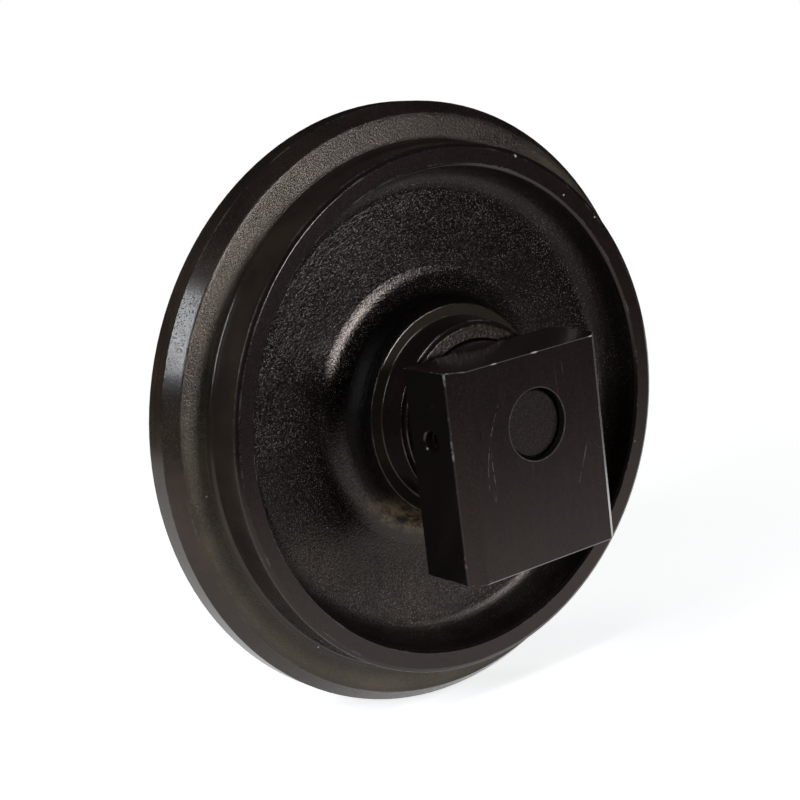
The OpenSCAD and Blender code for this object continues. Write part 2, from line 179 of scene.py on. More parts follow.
class IdlerPaint(bpy.types.PropertyGroup):
    """Colours and surface of the black paint, of what lies on it or shows through, and of the glints and shade
    painted on it
    """

    paint: colour_property("Paint", "Brown-black paint in the light", (0.0080, 0.0050, 0.0049))
    # Deep paint comes and goes in random clouds and darkens the cast faces, and on the blocks' side faces it is
    # painted shade
    deep_paint_and_shade: colour_property("Deep paint", "Black paint where it lies thick", (0.0046, 0.0037, 0.0035))
    paint_warm: colour_property("Warm paint", "Thin paint over the primer", (0.0135, 0.0062, 0.0068))
    film: colour_property("Film", "Brown film on the treads and the flange", (0.0420, 0.0300, 0.0210))
    dust: colour_property("Dust", "Olive dust on the flange's sides", (0.1050, 0.0900, 0.0580))
    clay: colour_property("Clay", "Ochre dust under the hub and on its end", (0.2000, 0.1420, 0.0800))
    # Painted glints: pale colour on the tips of the sand grain that stands in for glints of light on them
    tips: colour_property("Grain tips", "Dry paint on the tips of the sand grain", (0.2450, 0.2010, 0.1770))
    # Also the colour of the lighter edge lines, which partly stand in for highlights
    worn: colour_property("Worn edge", "Steel that shows at rubbed edges", (0.1800, 0.1700, 0.1620))
    speck: colour_property("Speck", "Pale specks, chips and nicks", (0.3600, 0.3400, 0.3150))
    light_least: share_property("Light paint", "Least share of the paint in the light", 0.30)
    light_cloud: share_property("Light clouds", "Share of it that comes and goes in clouds", 0.45)
    mottle: share_property("Mottle", "Share of warm paint in the fine mottle", 0.45)
    roughness: share_property("Roughness", "Roughness of the paint on machined faces", 0.16)
    cast_roughness: share_property("Cast roughness", "Roughness of the paint on cast faces", 0.12)
    hub_roughness: share_property("Hub roughness", "Roughness on the hub's side and the recess wall", 0.30)
    side_roughness: share_property("Side roughness", "Roughness of the paint on the flange's sides", 0.24)
    gloss: share_property("Gloss", "Strength of the paint's mirror reflection", 0.36)
    sheen: colour_property("Sheen", "Tint of the paint's mirror reflection", (1.0000, 0.8200, 0.7300))
    cast_grain: length_property("Cast grain", "Size of the sand grain on the web and hub", 0.58 * MM)
    cast_depth: length_property("Cast depth", "Depth of the sand grain on the web and hub", 0.105 * MM)
    side_grain: length_property("Side grain", "Size of the grain on the flange's sides", 0.60 * MM)
    side_depth: length_property("Side depth", "Depth of the grain on the flange's sides", 0.20 * MM)
    peel_grain: length_property("Peel grain", "Size of the paint's own ripple", 0.80 * MM)
    peel_depth: length_property("Peel depth", "Depth of the paint's own ripple", 0.018 * MM)


class IdlerWheelDirtAndPaintedLight(bpy.types.PropertyGroup):
    """How strongly film, dust, clay and wear show on the wheel, and how strongly its painted glints, painted
    shade and painted edge highlights show
    """

    deep: share_property("Deep paint", "Share of deep paint on cast faces", 0.80)
    # Painted shade: plain black laid on the hub's side, where shade falls
    hub_painted_shade: share_property("Hub black", "Share of plain black on the hub's side", 0.70)
    hub_depth: bpy.props.FloatProperty(
        name="Hub grain", description="Depth that the grain gains on the hub's side", default=1.6, min=0.0
    )
    end_depth: share_property("End grain", "Depth of the hub end's grain as a share of the flange side's", 0.50)
    # Painted glints on the cast grain's tips: a least share, a share in patches, and a share that the hub's
    # side lacks
    painted_glint_least: share_property("Dry tips", "Least share of dry paint on the grain's tips", 0.25)
    painted_glint_patch: share_property("Dry patches", "Share of it that comes and goes in patches", 0.55)
    hub_glint_loss: share_property("Dry hub", "Share of it that the hub's side lacks", 0.80)
    film_least: share_property("Film", "Least share of film on the treads and the flange", 0.14)
    film_speckle: share_property("Film speckle", "Share of film in fine speckles", 0.16)
    film_drift: share_property("Film drift", "Share of film in wide drifts", 0.35)
    film_land: share_property("Film on land", "Share of film that the flange's land has besides", 0.22)
    web_least: share_property("Web film", "Least share of film low on the web", 0.06)
    web_drift: share_property("Web drift", "Share of film low on the web in wide drifts", 0.22)
    rim_speckle: share_property("Rim speckle", "Share of film in fine speckles on the rim face", 0.16)
    # Film and dust fade towards the top, so the top is darker
    clean: share_property("Clean top", "Share of film and dust that the wheel's top lacks", 0.50)
    dust_least: share_property("Dust", "Least share of dust on the flange's sides", 0.08)
    dust_tips: share_property("Dust on tips", "Share of dust on the tips of the grain", 0.52)
    dust_drift: share_property("Dust drift", "Share of dust in wide drifts", 0.14)
    dust_low: share_property("Low dust", "Share of dust that the wheel's lower part has besides", 0.12)
    dust_ring: share_property("Ring dust", "Share of dust on the hub's ring face", 0.12)
    clay_end: share_property("End clay", "Share of clay on the hub's end face", 0.10)
    # The rubbed line on the wheel's edges is partly wear and partly a painted highlight along the edges
    rubbed: share_property("Rubbed", "Share of steel on rubbed edges", 0.30)
    hollow_shade: share_property("Hollows", "Share of reflection lost in the grain's hollows", 0.52)
    fillet_light: share_property("Fillet", "Share of that loss that the hub's fillet is spared", 0.45)
    hub_shade: share_property("Hub shade", "Share of reflection lost on the hub's side", 0.52)
    wall_shade: share_property("Wall shade", "Share of reflection lost on the recess wall", 0.38)
    film_rough: share_property("Film roughness", "Roughness that the film adds", 0.10)
    pit_rough: share_property("Pit roughness", "Roughness that pits add on the flange's chamfer", 0.30)


class IdlerWheelPlaces(bpy.types.PropertyGroup):
    """Edges of the wheel that the paint follows, as radius and station"""

    land_edge: place_property("Land edge", "Edge of the flange's land", 153.0, 5.5)
    flange_edge: place_property("Flange edge", "Foot of the flange's edge chamfer", 147.5, 13.0)
    tread_edge: place_property("Tread edge", "Outer edge of the tread", 132.4, 35.5)
    tread_gap: length_property("Tread gap", "Height above the tread where the grain starts", 2.0 * MM)
    rim_edge: place_property("Rim edge", "Outer edge of the rim face", 130.3, 36.9)
    mouth_edge: place_property("Mouth edge", "Mouth of the recess", 122.5, 37.0)
    mouth_bevel: place_property("Mouth bevel", "Width and depth of the bevel on that mouth", 1.2, 1.2)
    wall_start: length_property("Wall start", "Where the recess wall starts, from its mouth", 14.0 * MM)
    wall_full: length_property("Wall full", "Where the recess wall is steep, from its mouth", 8.0 * MM)
    hub_side: length_property("Hub side", "Radius at the foot of the hub's dark side", 59.5 * MM)
    foot_width: length_property("Foot width", "Width of the clay's bed outside that radius", 5.0 * MM)
    fillet_width: length_property("Fillet width", "Width of the bright fillet outside that bed", 15.0 * MM)
    hub_edge: place_property("Hub edge", "Outer edge of the hub's ring face", 53.3, 35.0)
    nose_root: length_property("Nose root", "Radius of the inner edge of the hub's ring face", 47.5 * MM)
    nose_edge: place_property("Nose edge", "Outer edge of the nose's shoulder", 46.0, 48.7)
    end_edge: place_property("End edge", "Outer edge of the hub's end face", 44.1, 50.6)
    end_bore: length_property("End bore", "Radius of the inner edge of the hub's end face", 37.5 * MM)


class IdlerBlockPlaces(bpy.types.PropertyGroup):
    """Places on the guide blocks that the paint follows"""

    chamfer_w: length_property("Chamfer width", "Width of the chamfers beside the outer face", 7.5 * MM)
    chamfer_t: length_property("Chamfer depth", "Depth of the chamfers beside the outer face", 7.0 * MM)
    up: length_property("Up", "Height of the block's top above the shaft", 34.7 * MM)
    down: length_property("Down", "Depth of the block's underside below the shaft", 68.8 * MM)
    bore_radius: length_property("Bore radius", "Bore for the shaft", 17.5 * MM)
    edge_width: length_property("Edge width", "Width of the rubbed line along an edge", 0.9 * MM)
    front_width: length_property("Front width", "Width of the rubbed part behind the outer face", 3.0 * MM)
    crest_width: length_property("Crest width", "Width of the most rubbed part below the top", 2.0 * MM)
    scratch_width: length_property("Scratch width", "Half width of the curved scratches", 0.35 * MM)


class IdlerBlockWearAndPaintedLight(bpy.types.PropertyGroup):
    """How strongly dirt and wear show on the guide blocks and on the ends of the shaft, and how strongly
    painted shade and painted edge highlights show on the blocks
    """

    # The rubbed lines along the blocks' edges are partly wear and partly painted highlights, strongest along
    # the outer face's top edge
    edge_rub_and_highlight: share_property("Edge rub", "Least share of steel on the edges", 0.06)
    front_rub_and_highlight: share_property("Front rub", "Share that the edges of the outer face have besides", 0.14)
    crest_rub_and_highlight: share_property("Crest rub", "Share that the outer face's top edge has besides", 0.45)
    streak: share_property("Streaks", "Share of warm paint in the upright streaks", 0.40)
    grit: share_property("Grit", "Share of film in fine grit", 0.30)
    # Painted shade: deep paint laid on the blocks' side faces, which lie in shade
    flank_painted_shade: share_property("Flank", "Share of deep paint on the side faces", 0.85)
    arc_scratch: share_property("Curved scratches", "Share of steel in the curved scratches", 0.40)
    fine_scratch: share_property("Fine scratches", "Share of steel in the fine scratches", 0.12)
    rough_drift: share_property("Roughness drift", "Roughness that comes and goes on the faces", 0.04)
    bar_grit: share_property("Shaft grit", "Share of film in the grit on the shaft's ends", 0.20)
    bar_rough: share_property("Shaft roughness", "Roughness that grit adds on the shaft's ends", 0.20)


class IdlerStage(bpy.types.PropertyGroup):
    """Camera, lamps and floor"""

    camera_target: bpy.props.FloatVectorProperty(
        name="Target", description="Point that the camera looks at", subtype="TRANSLATION", unit="LENGTH",
        default=(-9.0 * MM, 0.0, 3.5 * MM),
    )
    camera_distance: length_property("Distance", "Distance of the camera from its target", 998.9 * MM)
    camera_azimuth: bpy.props.FloatProperty(
        name="Azimuth", description="Turn of the camera round Z from the right side",
        subtype="ANGLE", default=math.radians(-36.11),
    )
    camera_elevation: bpy.props.FloatProperty(
        name="Elevation", description="Height of the camera above the horizon",
        subtype="ANGLE", default=math.radians(12.91),
    )
    camera_roll: bpy.props.FloatProperty(
        name="Roll", description="Turn of the camera about its own line of sight",
        subtype="ANGLE", default=math.radians(-7.05),
    )
    camera_lens: bpy.props.FloatProperty(
        name="Lens", description="Focal length on a 36 mm sensor", unit="CAMERA", default=88.25
    )
    floor_size: length_property("Floor", "Side of the floor", 12.0)
    shadow_inner: length_property("Shadow inside", "Radius of the floor that shows the whole shadow", 0.25)
    shadow_outer: length_property("Shadow outside", "Radius past which the floor is plain white", 0.60)
    floor_lift: share_property("Floor lift", "White added to the floor beside its own shade", 0.69)
    ambient: share_property("Ambient", "Strength of the even light from all round", 0.08)
    tent_radius: length_property("Tent radius", "Radius of the dark tent that the paint mirrors", 2.6)
    table_front: length_property("Table front", "Where the mirrored floor starts to fade in front", 0.10)
    table_end: length_property("Table end", "Where the mirrored floor has faded in front", 0.72)
    table_inner: length_property("Table inside", "Where the mirrored floor starts to fade all round", 0.80)
    table_outer: length_property("Table outside", "Where the mirrored floor has faded all round", 1.30)


def add(tree, kind, sockets=None, **settings):
    """Adds a node, sets its properties, and sets or links its inputs."""
    made = tree.nodes.new(kind)
    for key, value in settings.items():
        setattr(made, key, value)
    for key, value in (sockets or {}).items():
        if isinstance(value, bpy.types.NodeSocket):
            tree.links.new(value, made.inputs[key])
        else:
            made.inputs[key].default_value = value
    return made


def calc(tree, operation, *values, clamp=False):
    """Adds a Math node and gives its output."""
    made = add(tree, "ShaderNodeMath", dict(enumerate(values)), operation=operation, use_clamp=clamp)
    return made.outputs[0]


def product(tree, *values):
    """Multiplies two or more values."""
    total = values[0]
    for value in values[1:]:
        total = calc(tree, "MULTIPLY", total, value)
    return total


def largest(tree, *values):
    """The largest of two or more values."""
    total = values[0]
    for value in values[1:]:
        total = calc(tree, "MAXIMUM", total, value)
    return total


def sum_of(tree, least, *terms):
    """Adds to a least value each mask times its share."""
    total = least
    for mask, share in terms:
        total = calc(tree, "MULTIPLY_ADD", mask, share, total)
    return total


def ramp(tree, value, low, high):
    """Goes smoothly from 0 at low to 1 at high."""
    made = add(
        tree, "ShaderNodeMapRange", {"Value": value, "From Min": low, "From Max": high},
        interpolation_type="SMOOTHSTEP",
    )
    return made.outputs["Result"]


def fall(tree, value, low, high):
    """Goes smoothly from 1 at low to 0 at high."""
    return calc(tree, "SUBTRACT", 1.0, ramp(tree, value, low, high))


def parts_of(tree, position):
    """The X, Y and Z of a position."""
    return add(tree, "ShaderNodeSeparateXYZ", {0: position}).outputs


def length_of(tree, vector):
    """The length of a vector."""
    return add(tree, "ShaderNodeVectorMath", {0: vector}, operation="LENGTH").outputs["Value"]


def stretched(tree, position, scale):
    """A position whose axes are scaled, so that a pattern is drawn out along the small ones."""
    return add(tree, "ShaderNodeMapping", {"Vector": position, "Scale": scale}).outputs[0]


def blend(tree, share, first, second):
    """Mixes two colours."""
    made = add(tree, "ShaderNodeMix", data_type="RGBA")
    sockets = {s.identifier: s for s in made.inputs}
    wanted = {"Factor_Float": share, "A_Color": first, "B_Color": second}
    for key, value in wanted.items():
        if isinstance(value, bpy.types.NodeSocket):
            tree.links.new(value, sockets[key])
        else:
            sockets[key].default_value = value
    return next(s for s in made.outputs if s.identifier == "Result_Color")


def coats(tree, colour, *layers):
    """Lays coats over a colour, each by its own mask."""
    for share, layer in layers:
        colour = blend(tree, share, colour, layer)
    return colour


def noise(tree, position, size, detail=2.0, rough=0.5):
    """Noise whose features are about size metres across, from 0 to 1."""
    made = add(
        tree, "ShaderNodeTexNoise",
        {"Vector": position, "Scale": 1.0 / size, "Detail": detail, "Roughness": rough},
    )
    return made.outputs["Fac"]


def cloud(tree, position, pattern):
    """The mask of a pattern of noise."""
    value = noise(tree, position, pattern.size, pattern.detail, pattern.rough)
    return ramp(tree, value, pattern.start, pattern.full)


def nicks(tree, position, places, shape):
    """1 in each of some small nicks, drawn out along an axis where its shape is below 1."""
    total = 0.0
    for centre, radius in places:
        point = [value * MM for value in centre]
        apart = add(tree, "ShaderNodeVectorMath", {0: position, 1: point}, operation="SUBTRACT").outputs[0]
        apart = add(tree, "ShaderNodeVectorMath", {0: apart, 1: shape}, operation="MULTIPLY").outputs[0]
        nick = fall(tree, length_of(tree, apart), 0.5 * radius * MM, radius * MM)
        total = calc(tree, "MAXIMUM", total, nick)
    return total


def circle_through(first, second, third):
    """Centre and radius of the circle through three points."""
    a, b, c = (Vector(point) for point in (first, second, third))
    chord, reach = b - a, c - a
    twice = 2.0 * chord.cross(reach)
    x = (reach.y * chord.length_squared - chord.y * reach.length_squared) / twice
    z = (chord.x * reach.length_squared - reach.x * chord.length_squared) / twice
    return a + Vector((x, z)), math.hypot(x, z)


def arc_scratches(tree, position, arcs, width):
    """1 on thin curved scratches that run down the blocks' outer faces."""
    parts = parts_of(tree, position)
    total = 0.0
    for arc in arcs:
        centre, radius = circle_through(*arc)
        aside = calc(tree, "SUBTRACT", parts["X"], centre.x * MM)
        along = calc(tree, "SUBTRACT", parts["Z"], centre.y * MM)
        reach = calc(tree, "SQRT", calc(tree, "MULTIPLY_ADD", aside, aside, product(tree, along, along)))
        away = calc(tree, "ABSOLUTE", calc(tree, "SUBTRACT", reach, radius * MM))
        line = fall(tree, away, SCRATCH_CORE * width, width)
        top, bottom = arc[0][1] * MM, arc[-1][1] * MM
        below = fall(tree, parts["Z"], top - SCRATCH_TAPER, top)
        above = ramp(tree, parts["Z"], bottom, bottom + SCRATCH_TAPER)
        middle = 0.5 * (arc[0][0] + arc[-1][0]) * MM
        beside = calc(tree, "ABSOLUTE", calc(tree, "SUBTRACT", parts["X"], middle))
        near = fall(tree, beside, *SCRATCH_REACH)
        total = calc(tree, "MAXIMUM", total, product(tree, line, below, above, near))
    return total


def rgba(colour):
    """A colour property as the four numbers that a socket takes."""
    return (*colour, 1.0)


def new_group(name, inputs, outputs):
    """An empty node group with its sockets, and its input and output nodes."""
    tree = bpy.data.node_groups.new(name, "ShaderNodeTree")
    for socket, kind in inputs:
        tree.interface.new_socket(name=socket, in_out="INPUT", socket_type=kind)
    for socket in outputs:
        tree.interface.new_socket(name=socket, in_out="OUTPUT", socket_type="NodeSocketFloat")
    return tree, tree.nodes.new("NodeGroupInput").outputs, tree.nodes.new("NodeGroupOutput").inputs


def shaft_place_group():
    """Radius from the shaft and distance from the wheel's middle."""
    tree, given, out = new_group("Shaft place", [("Position", "NodeSocketVector")], ["Radius", "Station"])
    parts = parts_of(tree, given["Position"])
    flat = add(tree, "ShaderNodeCombineXYZ", {"X": parts["X"], "Z": parts["Z"]})
    tree.links.new(length_of(tree, flat.outputs[0]), out["Radius"])
    tree.links.new(calc(tree, "ABSOLUTE", parts["Y"]), out["Station"])
    return tree


def sand_grain_group():
    """Height, about 1 on average, of a sand-cast surface under paint, and the tips of its grain."""
    inputs = [("Position", "NodeSocketVector"), ("Size", "NodeSocketFloat")]
    tree, given, out = new_group("Sand grain", inputs, ["Height", "Tips"])
    density = calc(tree, "DIVIDE", 1.0, given["Size"])
    scaled = add(
        tree, "ShaderNodeVectorMath", {0: given["Position"], "Scale": density}, operation="SCALE"
    ).outputs[0]
    fine = noise(tree, scaled, 1.0, 2.0, 0.60)
    wide = noise(tree, scaled, 1.0 / WIDE_DENSITY, 1.0)
    tree.links.new(sum_of(tree, fine, (wide, WIDE_HEIGHT)), out["Height"])
    tree.links.new(ramp(tree, fine, *TIP_VALUES), out["Tips"])
    return tree


def ring_zone_group():
    """1 between two radii and two stations of the wheel, with soft bounds."""
    sockets = ["Radius", "Station", "Inner", "Outer", "Near", "Far", "Soft"]
    tree, given, out = new_group("Ring zone", [(s, "NodeSocketFloat") for s in sockets], ["Mask"])
    rises = [
        (given["Radius"], given["Inner"]), (given["Outer"], given["Radius"]),
        (given["Station"], given["Near"]), (given["Far"], given["Station"]),
    ]
    masks = []
    for upper, lower in rises:
        inside = calc(tree, "DIVIDE", calc(tree, "SUBTRACT", upper, lower), given["Soft"])
        masks.append(calc(tree, "ADD", inside, 0.5, clamp=True))
    tree.links.new(product(tree, *masks), out["Mask"])
    return tree


def ring_edge_group():
    """1 on a ring edge of the wheel, falling to 0 at Width from it."""
    sockets = ["Radius", "Station", "Edge radius", "Edge station", "Width"]
    tree, given, out = new_group("Ring edge", [(s, "NodeSocketFloat") for s in sockets], ["Mask"])
    aside = calc(tree, "SUBTRACT", given["Radius"], given["Edge radius"])
    along = calc(tree, "SUBTRACT", given["Station"], given["Edge station"])
    square = calc(tree, "MULTIPLY_ADD", aside, aside, calc(tree, "MULTIPLY", along, along))
    away = calc(tree, "DIVIDE", calc(tree, "SQRT", square), given["Width"])
    tree.links.new(calc(tree, "SUBTRACT", 1.0, away, clamp=True), out["Mask"])
    return tree


def wear_group():
    """Rubbed paint from an edge mask, partly wear and partly painted highlights along edges, pale specks all
    over and fine scratches.
    """
    inputs = [("Position", "NodeSocketVector"), ("Edge", "NodeSocketFloat"), ("Least", "NodeSocketFloat")]
    tree, given, out = new_group("Wear", inputs, ["Rubbed", "Speck", "Scratch"])
    position = given["Position"]

    broad = noise(tree, position, RUB_SIZES[0], 3.0, 0.6)
    fine = noise(tree, position, RUB_SIZES[1], 2.0, 0.6)
    patch = ramp(tree, sum_of(tree, 0.0, *zip((broad, fine), RUB_SHARES)), *RUB_VALUES)
    share = calc(tree, "MAXIMUM", patch, given["Least"])
    tree.links.new(product(tree, share, ramp(tree, given["Edge"], *RUB_EDGE)), out["Rubbed"])

    cells = add(tree, "ShaderNodeTexVoronoi", {"Vector": position, "Scale": 1.0 / SPECK_PITCH})
    dot = fall(tree, cells.outputs["Distance"], *SPECK_RADII)
    tree.links.new(product(tree, dot, cloud(tree, position, SPECK_PLACES)), out["Speck"])

    drawn = noise(tree, stretched(tree, position, SCRATCH_DRAW), SCRATCH_SIZE, 1.0)
    line = fall(tree, calc(tree, "ABSOLUTE", calc(tree, "SUBTRACT", drawn, 0.5)), *SCRATCH_WIDTHS)
    tree.links.new(product(tree, line, cloud(tree, position, SCRATCH_PLACES)), out["Scratch"])
    return tree


def block_edge_group():
    """Distance along the surface of a block to its nearest edge."""
    sockets = ["Half width", "Top", "Bottom", "Front", "Chamfer width", "Chamfer depth"]
    inputs = [("Position", "NodeSocketVector"), *((s, "NodeSocketFloat") for s in sockets)]
    tree, given, out = new_group("Block edge", inputs, ["Distance"])
    parts = parts_of(tree, given["Position"])
    beside = calc(tree, "SUBTRACT", given["Half width"], calc(tree, "ABSOLUTE", parts["X"]))
    ahead = calc(tree, "SUBTRACT", given["Front"], calc(tree, "ABSOLUTE", parts["Y"]))
    above = calc(tree, "SUBTRACT", given["Top"], parts["Z"])
    below = calc(tree, "SUBTRACT", parts["Z"], given["Bottom"])
    level = calc(tree, "MINIMUM", above, below)
    width, depth = given["Chamfer width"], given["Chamfer depth"]
    share = calc(tree, "ADD", calc(tree, "DIVIDE", beside, width), calc(tree, "DIVIDE", ahead, depth))
    square = calc(tree, "MULTIPLY_ADD", width, width, calc(tree, "MULTIPLY", depth, depth))
    scale = calc(tree, "DIVIDE", product(tree, width, depth), calc(tree, "SQRT", square))
    cut = calc(tree, "MULTIPLY", calc(tree, "SUBTRACT", share, 1.0), scale)
    outer = calc(tree, "MINIMUM", ahead, cut)
    nearest, other = calc(tree, "MINIMUM", beside, outer), calc(tree, "MAXIMUM", beside, outer)
    second = calc(tree, "MAXIMUM", nearest, calc(tree, "MINIMUM", other, level))
    tree.links.new(second, out["Distance"])
    return tree


def use(tree, group, **sockets):
    """Places a node group, with its inputs named by keyword."""
    made = add(tree, "ShaderNodeGroup", node_tree=group)
    for key, value in sockets.items():
        socket = made.inputs[key.replace("_", " ")]
        if isinstance(value, bpy.types.NodeSocket):
            tree.links.new(value, socket)
        else:
            socket.default_value = value
    return made.outputs


class Groups:
    """The node groups that the finishes share, made once."""

    place = grain = zone = edge = wear = block_edge = None

    @classmethod
    def make(cls):
        if cls.place is None:
            cls.place = shaft_place_group()
            cls.grain = sand_grain_group()
            cls.zone = ring_zone_group()
            cls.edge = ring_edge_group()
            cls.wear = wear_group()
            cls.block_edge = block_edge_group()


def new_material(name):
    """A material with its own shader, and the piece's Object coordinates."""
    material = bpy.data.materials.new(name)
    material.use_nodes = True
    tree = material.node_tree
    shader = next(n for n in tree.nodes if n.type == "BSDF_PRINCIPLED")
    position = add(tree, "ShaderNodeTexCoord").outputs["Object"]
    return material, tree, shader, position


def finish_surface(tree, shader, colour, roughness, height):
    """Links colour, roughness and a height in metres to the shader."""
    bump = add(tree, "ShaderNodeBump", {"Height": height, "Distance": 1.0, "Strength": 1.0})
    tree.links.new(colour, shader.inputs["Base Color"])
    tree.links.new(roughness, shader.inputs["Roughness"])
    tree.links.new(bump.outputs["Normal"], shader.inputs["Normal"])


def finish_paint(tree, shader, paint, colour, roughness, height):
    """The same for painted surfaces, with the paint's gloss and sheen."""
    shader.inputs["Specular IOR Level"].default_value = paint.gloss
    shader.inputs["Specular Tint"].default_value = rgba(paint.sheen)
    finish_surface(tree, shader, colour, roughness, height)


def paint_colour(tree, paint, position):
    """Brown-black paint: deep and thin patches, with a fine mottle."""
    light = sum_of(tree, paint.light_least, (cloud(tree, position, LIGHT_CLOUDS), paint.light_cloud))
    mottle = calc(tree, "MULTIPLY", cloud(tree, position, MOTTLE), paint.mottle)
    return coats(tree, rgba(paint.deep_paint_and_shade), (light, rgba(paint.paint)), (mottle, rgba(paint.paint_warm)))


def wheel_zones(tree, wheel, place):
    """Masks of the wheel's faces."""
    def zone(inner, outer, near, far, soft):
        return use(
            tree, Groups.zone, Radius=place["Radius"], Station=place["Station"],
            Inner=inner, Outer=outer, Near=near, Far=far, Soft=soft,
        )["Mask"]

    (land_r, land_s), (flange_r, flange_s) = wheel.land_edge, wheel.flange_edge
    (tread_r, tread_s), (rim_r, rim_s) = wheel.tread_edge, wheel.rim_edge
    (mouth_r, mouth_s), (bevel_w, bevel_t) = wheel.mouth_edge, wheel.mouth_bevel
    (hub_r, hub_s), (end_r, end_s) = wheel.hub_edge, wheel.end_edge
    foot_r = wheel.hub_side + wheel.foot_width
    cast = zone(hub_r, mouth_r - bevel_w, 0.0, mouth_s - bevel_t, SOFT_FACE)
    wall = ramp(tree, place["Radius"], mouth_r - wheel.wall_start, mouth_r - wheel.wall_full)
    return SimpleNamespace(
        cast=cast,
        wall=product(tree, wall, cast),
        outside=zone(tread_r - SOFT_FACE, FAR, 0.0, FAR, SOFT_SIDE),
        side=zone(tread_r + wheel.tread_gap, flange_r, flange_s, tread_s, SOFT_SIDE),
        land=zone(land_r - SOFT_EDGE, FAR, 0.0, land_s, SOFT_EDGE),
        chamfer=zone(flange_r, land_r, land_s, flange_s, SOFT_EDGE),
        rim=zone(mouth_r, rim_r, rim_s - SOFT_EDGE, FAR, SOFT_EDGE),
        hub=zone(hub_r, wheel.hub_side, 0.0, hub_s, SOFT_HUB),
        foot=zone(hub_r, foot_r, 0.0, hub_s, SOFT_HUB),
        fillet=zone(foot_r, foot_r + wheel.fillet_width, 0.0, hub_s, SOFT_HUB),
        ring=zone(wheel.nose_root, hub_r, 0.0, hub_s + MARGIN, SOFT_FACE),
        end=zone(wheel.end_bore, end_r, end_s - MARGIN, FAR, SOFT_FACE),
    )


def wheel_edge(tree, wheel, place):
    """1 along the wheel's ring edges."""
    total = 0.0
    for name, width in WHEEL_EDGE_WIDTHS.items():
        edge_radius, edge_station = getattr(wheel, name)
        mask = use(
            tree, Groups.edge, Radius=place["Radius"], Station=place["Station"],
            Edge_radius=edge_radius, Edge_station=edge_station, Width=width,
        )["Mask"]
        total = calc(tree, "MAXIMUM", total, mask)
    return total


def wheel_dirt_and_glints(tree, dirt, position, zones, cast_glint_tips, side_tips):
    """Masks of painted glints on the grain's tips, smeared and settled film, dust and clay on the wheel."""
    level = parts_of(tree, position)["Z"]
    low = fall(tree, level, *LOW_LEVELS)
    # Less film and dust towards the top, so the top is darker
    clean = sum_of(tree, 1.0, (ramp(tree, level, *TOP_FADE_LEVELS), -dirt.clean))
    drift = cloud(tree, position, DRIFT)
    speckle = cloud(tree, position, SPECKLE)

    # Painted glints: pale colour on the cast grain's tips that stands in for glints of light, fewer on the
    # hub's side
    painted_glint = sum_of(tree, dirt.painted_glint_least, (cloud(tree, position, GLINT_PATCHES), dirt.painted_glint_patch))
    painted_glint = product(tree, cast_glint_tips, zones.cast, painted_glint, sum_of(tree, 1.0, (zones.hub, -dirt.hub_glint_loss)))

    smear = sum_of(
        tree, dirt.film_least,
        (speckle, dirt.film_speckle), (drift, dirt.film_drift), (zones.land, dirt.film_land),
    )
    smear = product(tree, zones.outside, clean, smear)
    settled = product(tree, zones.cast, low, sum_of(tree, dirt.web_least, (drift, dirt.web_drift)))
    settled = sum_of(tree, settled, (product(tree, zones.rim, speckle), dirt.rim_speckle))

    dust = sum_of(
        tree, dirt.dust_least, (side_tips, dirt.dust_tips), (drift, dirt.dust_drift), (low, dirt.dust_low)
    )
    dust = largest(tree, product(tree, dust, zones.side, clean), product(tree, zones.ring, dirt.dust_ring))

    crust = product(tree, zones.end, cloud(tree, position, END_CRUST), dirt.clay_end)
    under = fall(tree, level, *CLAY_LEVELS)
    clay = largest(tree, crust, product(tree, zones.foot, under, cloud(tree, position, CLAY_PATCHES)))
    return SimpleNamespace(painted_glint=painted_glint, smear=smear, film=largest(tree, smear, settled), dust=dust, clay=clay)


